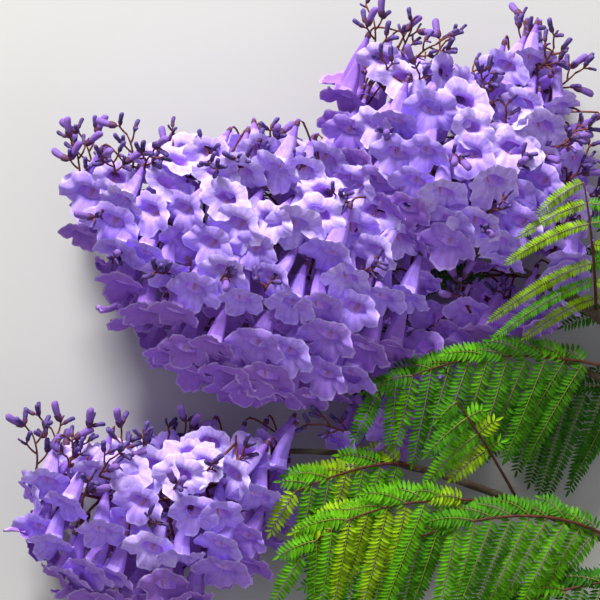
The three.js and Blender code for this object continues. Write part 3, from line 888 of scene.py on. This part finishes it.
class StageSettings(bpy.types.PropertyGroup):
    """Floor, lights and camera."""

    floor: paint("Floor", "The pale floor", (0.52, 0.52, 0.50))
    key: power("Key light", "Power of the main light, in watts", 142)
    fill: power("Fill light", "Power of the soft light, in watts", 10)
    sky: power("Sky", "Strength of the light from all around", 0.35)


def limb_piece(name, spec, materials):
    """A woody limb with relief: ridges along it, swollen nodes and a collar at its foot."""
    settings, path = bpy.context.scene.bark_settings, PATHS[name]
    steps = int(path.length / RING_STEP)
    shares = np.linspace(0, 1, steps + 1)
    radii = MM * np.interp(shares, (0, 1), spec["radii"])
    for knot in [form["at"] for form in FORMS.values() if form.get("parent") == name]:
        radii = radii * (1 + KNOT[0] * np.exp(-(((shares - knot) * path.length / KNOT[1]) ** 2)))
    if "parent" in spec:
        radii = radii * (1 + COLLAR[0] * np.exp(-shares * path.length / COLLAR[1]))
    points, outward = sweep(path, radii, LIMB_SIDES, shares)
    for k, j in np.ndindex(steps + 1, LIMB_SIDES):
        ridge = noise.noise(outward[k, j] * 3.1 + path.at(shares[k]) * 22)
        knobs = noise.noise(Vector(points[k, j]) * 190.0)
        rise = settings.relief * min(1.0, radii[k] / 0.004) * (0.8 * ridge + 0.5 * knobs)
        points[k, j] += outward[k, j] * rise
    heap = Heap()
    sleeve(heap, points, path, shares, 0)
    if "parent" not in spec:
        rings = path.at(0) + (points[0] - path.at(0)) * np.reshape(CUT_RINGS, (-1, 1, 1))
        rings[1:] -= path.tangent(0) * np.reshape(CUT_SINK, (-1, 1, 1))
        heap.add(rings, [band(len(CUT_RINGS), LIMB_SIDES)[:, ::-1]], [np.repeat([0, 1, 1, 2], LIMB_SIDES)])
    heap.piece(name + "_bark", materials, "bark", [name])


class BRANCH_OT_grow_bark(bpy.types.Operator):
    """Grow the main stem and its boughs, with bark in relief"""

    bl_idname = "branch.grow_bark"
    bl_label = "Grow bark"

    def execute(self, context):
        colours = context.scene.bark_settings
        materials = [bark_finish(colours), cut_finish(colours.wood),
                     twig_finish("pith", colours.pores, colours.bark)]
        for name, spec in LIMBS.items():
            limb_piece(name, spec, materials)
        return {"FINISHED"}


class BRANCH_OT_grow_twigs(bpy.types.Operator):
    """Grow the axis, side stems, flower stalks and calyces of each spike"""

    bl_idname = "branch.grow_twigs"
    bl_label = "Grow twigs"

    def execute(self, context):
        sizes, colours = context.scene.flower_sizes, context.scene.flower_colours
        materials = [twig_finish("stalk", shade(colours.stalk, 0.8), shade(colours.stalk, 1.7)),
                     twig_finish("calyx", shade(colours.calyx, 0.8), shade(colours.calyx, 1.8), 700.0)]
        cup = cup_shape(*FLOWER_CUP)
        for name in SPIKES:
            heap = Heap()
            tube(heap, PATHS[name], AXIS_RADII, 8, 40, 0)
            for path in stems(name):
                tube(heap, path, (sizes.stem_radius, 0.55 * sizes.stem_radius), 6, 10, 0)
            for point, turn, size, _, _ in flower_places(name):
                calyx = point + turn @ (size * tube_line(STALK_SHARE, sizes.length))
                back = turn @ unit(tube_line(1.0, sizes.length) - tube_line(0.8, sizes.length))
                foot = stem_foot(name, calyx + 0.006 * back)
                bow = calyx + 0.009 * back
                bow[2] = max(bow[2], BOW_ROOM)
                tube(heap, Path([foot, bow, calyx + 0.001 * back]),
                     (sizes.stalk_radius, 1.4 * sizes.stalk_radius), 5, 7, 0)
                heap.add(calyx + (cup @ turn_to(-back).T) * size, [CUP_FACES], [1])
            heap.piece("twigs_" + name, materials, "bark", [name + "_axis"])
        return {"FINISHED"}


class BRANCH_OT_open_flowers(bpy.types.Operator):
    """Set the open flowers of each spike, with tints dealt out by flower: paler ones as painted light,
    deeper ones as painted shade
    """

    bl_idname = "branch.open_flowers"
    bl_label = "Open flowers"

    def execute(self, context):
        tints, linings = petal_materials(), throat_materials()
        for name in SPIKES:
            outside, inside = Heap(), Heap()
            for point, turn, size, kind, tint in flower_places(name):
                (petals, faces, zones, spread), (throat, *lining) = flower_shape(kind)
                first = len(PETAL_ZONES) * PETAL_TINTS.index(tint)
                outside.add(point + petals @ (size * turn.T), [faces], [first + zones], spread)
                inside.add(point + throat @ (size * turn.T), *lining)
            nodes = [node for node in frame["nodes"] if node.startswith(name + "_cluster")]
            outside.piece("petals_" + name, tints, "blossom", nodes)
            inside.piece("throats_" + name, linings, "blossom", [])
        return {"FINISHED"}


def bud_head(heap, stalk, dice):
    """A stalk that ends in a tight head of closed buds, each in its calyx."""
    sizes = bpy.context.scene.flower_sizes
    bud, cup = bud_shape(sizes.bud_length, sizes.bud_radius), cup_shape(*BUD_CUP)
    tube(heap, stalk, HEAD_RADII, 5, 6, BUD_STALK)
    onward = stalk.tangent(1.0)
    side, up = across(onward)
    count, first = dice.randint(2, 3), dice.uniform(0, 2 * math.pi)
    for i in range(count):
        angle = first + 2.4 * i + dice.uniform(-0.5, 0.5)
        spread = dice.uniform(0.3, 1.3)
        way = unit(onward + spread * (math.cos(angle) * side + math.sin(angle) * up))
        base = stalk.at(1.0 - dice.uniform(0, 0.3))
        seat = base + way * dice.uniform(0.0015, 0.004)
        size = dice.choice(BUD_SCALES)
        if seat[2] < BUD_ROOM * size:
            continue
        tube(heap, Path([base, 0.5 * (base + seat), seat]), BUD_RADII, 4, 2, BUD_STALK)
        turn = size * turn_to(way).T
        heap.add(seat + cup @ turn, [CUP_FACES], [BUD_CALYX])
        heap.add(seat + bud @ turn, [BUD_FACES], [SWOLLEN_SKIN if size > SWOLLEN else BUD_SKIN])


def bud_spray(heap, foot, crown, aim, length, dice):
    """A twig that stands out from the flowers and forks into stalks with heads of buds."""
    run = bpy.context.scene.flower_sizes.spray_length * length * dice.uniform(0.8, 1.2)
    twig = Path([crown, crown + 0.5 * run * aim, crown + run * unit(aim + scatter(dice, 0.35))])
    arch = 0.5 * (foot + crown) + 0.1 * np.linalg.norm(crown - foot) * FACING
    tube(heap, Path([foot, arch, crown]), CROWN_RADII, 5, 8, BUD_STALK)
    tube(heap, twig, SPRAY_RADII, 5, 8, BUD_STALK)
    forks = 1 + round(2.4 * length)
    for i in range(forks):
        share = (i + 0.7) / (forks - 0.3)
        onward = twig.tangent(share)
        side, up = across(onward)
        angle = math.pi * i + dice.uniform(-0.8, 0.8)
        aside = math.cos(angle) * side + 0.7 * math.sin(angle) * up
        reach = (0.35 * run + 0.003) * dice.uniform(0.7, 1.3)
        way = unit((2.0 if i == forks - 1 else 0.7) * onward + aside)
        base = twig.at(share)
        tip = base + reach * unit(way + 0.5 * onward)
        bud_head(heap, Path([base, base + 0.5 * reach * way, tip]), dice)


class BRANCH_OT_set_buds(bpy.types.Operator):
    """Set sprays of closed buds past the open flowers and among them"""

    bl_idname = "branch.set_buds"
    bl_label = "Set buds"

    def execute(self, context):
        colours = context.scene.flower_colours
        materials = [twig_finish("bud", shade(colours.bud, 0.7), shade(colours.bud, 1.7), 300.0),
                     twig_finish("bud_calyx", shade(colours.calyx, 0.9), shade(colours.calyx, 2.0), 700.0),
                     twig_finish("bud_stalk", shade(colours.stalk, 0.8), shade(colours.stalk, 1.7)),
                     petal_finish("bud_swollen", blend(colours.bud, colours.lavender, 0.28), colours)]
        for name, spec in SPIKES.items():
            heap, dice = Heap(), random.Random(spec["seed"] + BUD_SEED)
            for crown, aim, length in edge_sprays(name) + tufts(name):
                bud_spray(heap, stem_foot(name, crown), crown, aim, length, dice)
            heap.piece("buds_" + name, materials, "blossom", [])
        return {"FINISHED"}


def in_flowers(points):
    """Which points lie well inside the space that a spike's flowers fill."""
    inside = np.zeros(len(points), bool)
    for name, spec in SPIKES.items():
        path = PATHS[name]
        t = np.linspace(0.02, 0.98, 25)
        centres, tangents = path.at(t), path.tangent(t)
        aside = upper_side(tangents)
        gap = points[:, None] - centres[None]
        k = np.argmin(np.linalg.norm(gap, axis=2), axis=1)
        gap = gap[np.arange(len(points)), k]
        side = np.einsum("ij,ij->i", gap, aside[k])
        reach = np.where(side > 0, along(spec["above"], t)[k], along(spec["below"], t)[k])
        ends = np.abs(np.einsum("ij,ij->i", gap, tangents[k])) < 0.012
        oval = (side / reach) ** 2 + (gap[:, 2] / along(spec["depth"], t)[k]) ** 2
        inside |= ends & (oval < 0.9**2)
    return inside


LEAFLET = np.array([
    (0, 0, 0), (0.24, 0.14, 0.04), (0.62, 0.13, 0.03), (1, 0, -0.04),
    (0.62, -0.13, 0.03), (0.24, -0.14, 0.04), (0.34, 0, 0), (0.7, 0, -0.01)])
LEAFLET_QUADS = np.array([(1, 6, 7, 2), (6, 5, 4, 7)])
LEAFLET_TRIANGLES = np.array([(0, 6, 1), (0, 5, 6), (2, 7, 3), (7, 4, 3)])


def pinnae(name):
    """The pinnae of a leaf: a path for each, with the green that it is dealt and its lean."""
    sizes, spec, path = bpy.context.scene.leaf_sizes, LEAVES[name], PATHS[name]
    dice = random.Random(len(name) + 31 * list(LEAVES).index(name))
    found, bare = [], spec.get("bare", BARE)
    pairs = round((1 - bare) * path.length / sizes.pinna_spacing)
    for k in range(pairs + 1):
        t = bare + (1 - bare) * k / pairs
        foot, tangent = path.at(t), path.tangent(t)
        length = spec.get("reach", 1.0) * sizes.pinna_length * (
            0.35 + 0.65 * math.sin(math.pi * (0.3 + 0.66 * (t - bare) / (1 - bare))))
        for side in (-1, 1) if k < pairs else (0,):
            aside = side * unit(np.cross(FACING, tangent))
            aim = unit(0.4 * tangent + 0.85 * aside + 0.5 * HANG + scatter(dice, 0.16))
            run = length * dice.uniform(0.8, 1.02) * (1 + 0.55 * min(0.0, float(aside @ HANG)))
            tip = foot + aim * run + dice.uniform(0.25, 0.5) * run * HANG - 0.16 * run * FACING
            tip[2] = max(tip[2], STEM_ROOM)
            curve = Path([foot, foot + aim * 0.5 * run + 0.05 * run * FACING, tip])
            if in_flowers(curve.at(np.linspace(0.1, 1, 8))).sum() > 2:
                continue
            found.append((curve, dice.choice(spec["greens"].split()), 0.25 * aside))
    return found


def leaflets(curve, lean, fine, sizes, dice):
    """The points of all leaflets of a pinna, in rows of one leaflet each."""
    longest = fine * sizes.leaflet_length
    count = int(0.97 * curve.length / (fine * sizes.leaflet_spacing))
    t = 0.02 + 0.95 * (np.arange(count) + 0.5) / count
    feet, tangents = curve.at(t), curve.tangent(t)
    sideways = unit(np.cross(FACING + lean, tangents))
    ups = np.cross(tangents, sideways)
    spans = longest * (0.3 + 0.7 * np.sin(math.pi * (0.22 + 0.7 * t)) ** 0.7)
    rows = []
    for side in (-1, 1):
        tilt = np.array([dice.gauss(0, 0.13) for _ in t])[:, None]
        swing = np.array([dice.gauss(0.38, 0.06) for _ in t])[:, None] + 0.5 * t[:, None] ** 3
        aim = unit(side * sideways + swing * tangents + tilt * ups - 0.22 * ups)
        up = unit(ups - aim * np.einsum("ij,ij->i", ups, aim)[:, None])
        turns = np.stack([aim, np.cross(up, aim), up], axis=2)
        rows.append(feet[:, None] + np.einsum("nij,pj->npi", turns, LEAFLET) * spans[:, None, None])
    end = unit(tangents[-1])
    up = unit(ups[-1] - end * np.dot(ups[-1], end))
    turn = np.stack([end, np.cross(up, end), up], axis=1)
    rows.append(curve.at(0.97) + (LEAFLET @ turn.T * 0.8 * longest)[None])
    rows = np.concatenate(rows)
    rows[..., 2] = np.maximum(rows[..., 2], LEAFLET_ROOM)
    return rows


class BRANCH_OT_grow_leaves(bpy.types.Operator):
    """Grow the ribs of the leaves and the leaflets along each pinna"""

    bl_idname = "branch.grow_leaves"
    bl_label = "Grow leaves"

    def execute(self, context):
        sizes, colours = context.scene.leaf_sizes, context.scene.leaf_colours
        greens = [green_finish("leaflet_" + green, tuple(getattr(colours, green))) for green in GREENS]
        ribs = [twig_finish("leaf_rib", shade(colours.rib, 0.7), shade(colours.rib, 1.4), 260.0),
                twig_finish("pinna_rib", colours.vein, blend(colours.vein, colours.rib, 0.4), 260.0)]
        for name in LEAVES:
            dice = random.Random(77 + list(LEAVES).index(name))
            blades, stalks = Heap(), Heap()
            tube(stalks, PATHS[name], (1.25 * sizes.rib_radius, 0.5 * sizes.rib_radius), 7, 30, 0)
            for curve, green, lean in pinnae(name):
                tube(stalks, curve, PINNA_RADII, 4, 8, 1)
                rows = leaflets(curve, lean, LEAVES[name].get("fine", 1.0), sizes, dice)
                first = len(LEAFLET) * np.arange(len(rows))[:, None, None]
                finish = GREENS.index(green)
                blades.add(rows, [(LEAFLET_QUADS + first).reshape(-1, 4),
                                  (LEAFLET_TRIANGLES + first).reshape(-1, 3)], [finish, finish])
            blades.piece(name + "_leaflets", greens, "leaf", [name], smooth=False)
            stalks.piece(name + "_ribs", ribs, "leaf", [])
        return {"FINISHED"}


def area_light(name, place, size, watts, colour):
    lamp = bpy.data.lights.new(name, "AREA")
    lamp.size, lamp.energy, lamp.color = size, watts, colour
    light = bpy.data.objects.new(name, lamp)
    light.location = place
    light.rotation_euler = (-Vector(place)).to_track_quat("-Z", "Y").to_euler()
    bpy.context.scene.collection.objects.link(light)


class BRANCH_OT_set_stage(bpy.types.Operator):
    """Lay the floor, hang the lights and set the camera straight above the branch"""

    bl_idname = "branch.set_stage"
    bl_label = "Set stage"

    def execute(self, context):
        settings, scene = context.scene.stage_settings, context.scene
        finish = Finish("floor", roughness=0.8)
        finish.tone(finish.noise(3.0), settings.floor, 0.96, 1.0)
        floor = bpy.data.meshes.new("floor")
        corners = [(FLOOR_REACH * x, FLOOR_REACH * y, 0) for x, y in ((-1, -1), (1, -1), (1, 1), (-1, 1))]
        floor.from_pydata(corners, [], [(0, 1, 2, 3)])
        floor.materials.append(finish.material)
        ground = bpy.data.objects.new("floor", floor)
        scene.collection.objects.link(ground)

        area_light("key_light", (-0.7, 2.3, 1.2), 0.8, settings.key, (1.0, 0.99, 0.97))
        area_light("fill_light", (1.6, -1.2, 1.9), 2.2, settings.fill, (0.94, 0.92, 1.0))
        world = bpy.data.worlds.new("sky")
        world.use_nodes = True
        background = world.node_tree.nodes["Background"]
        background.inputs["Color"].default_value = (0.94, 0.94, 1.0, 1)
        background.inputs["Strength"].default_value = settings.sky
        scene.world = world

        lens = bpy.data.cameras.new("camera")
        lens.sensor_width = SENSOR
        lens.lens = SENSOR * (CAMERA_HEIGHT - PICTURE_HEIGHT) / PICTURE_WIDTH
        camera = bpy.data.objects.new("camera", lens)
        camera.location = (SHIFT[0], SHIFT[1], CAMERA_HEIGHT)
        scene.collection.objects.link(camera)
        scene.camera = camera
        scene.view_settings.view_transform = "Standard"
        return {"FINISHED"}


class BRANCH_PT_panel(bpy.types.Panel):
    """The branch's steps and sizes"""

    bl_label = "Jacaranda branch"
    bl_idname = "BRANCH_PT_panel"
    bl_space_type = "VIEW_3D"
    bl_region_type = "UI"
    bl_category = "Branch"

    def draw(self, context):
        for step in STEPS:
            self.layout.operator(step.bl_idname)
        for name, group in GROUPS.items():
            box = self.layout.box()
            box.label(text=group.__doc__.rstrip("."))
            for key in group.__annotations__:
                box.prop(getattr(context.scene, name), key)


GROUPS = {
    "flower_sizes": FlowerSizes,
    "flower_colours": FlowerColours,
    "leaf_sizes": LeafSizes,
    "leaf_colours": LeafColours,
    "bark_settings": BarkSettings,
    "stage_settings": StageSettings,
}
STEPS = (
    BRANCH_OT_grow_bark,
    BRANCH_OT_grow_twigs,
    BRANCH_OT_open_flowers,
    BRANCH_OT_set_buds,
    BRANCH_OT_grow_leaves,
    BRANCH_OT_set_stage,
)


def register():
    for name, group in GROUPS.items():
        bpy.utils.register_class(group)
        setattr(bpy.types.Scene, name, bpy.props.PointerProperty(type=group))
    for step in (*STEPS, BRANCH_PT_panel):
        bpy.utils.register_class(step)


def unregister():
    for step in reversed((*STEPS, BRANCH_PT_panel)):
        bpy.utils.unregister_class(step)
    for name, group in reversed(GROUPS.items()):
        delattr(bpy.types.Scene, name)
        bpy.utils.unregister_class(group)


def main():
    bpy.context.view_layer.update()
    register()
    bpy.ops.branch.grow_bark()
    bpy.ops.branch.grow_twigs()
    bpy.ops.branch.open_flowers()
    bpy.ops.branch.set_buds()
    bpy.ops.branch.grow_leaves()
    bpy.ops.branch.set_stage()


if __name__ == "__main__":
    main()
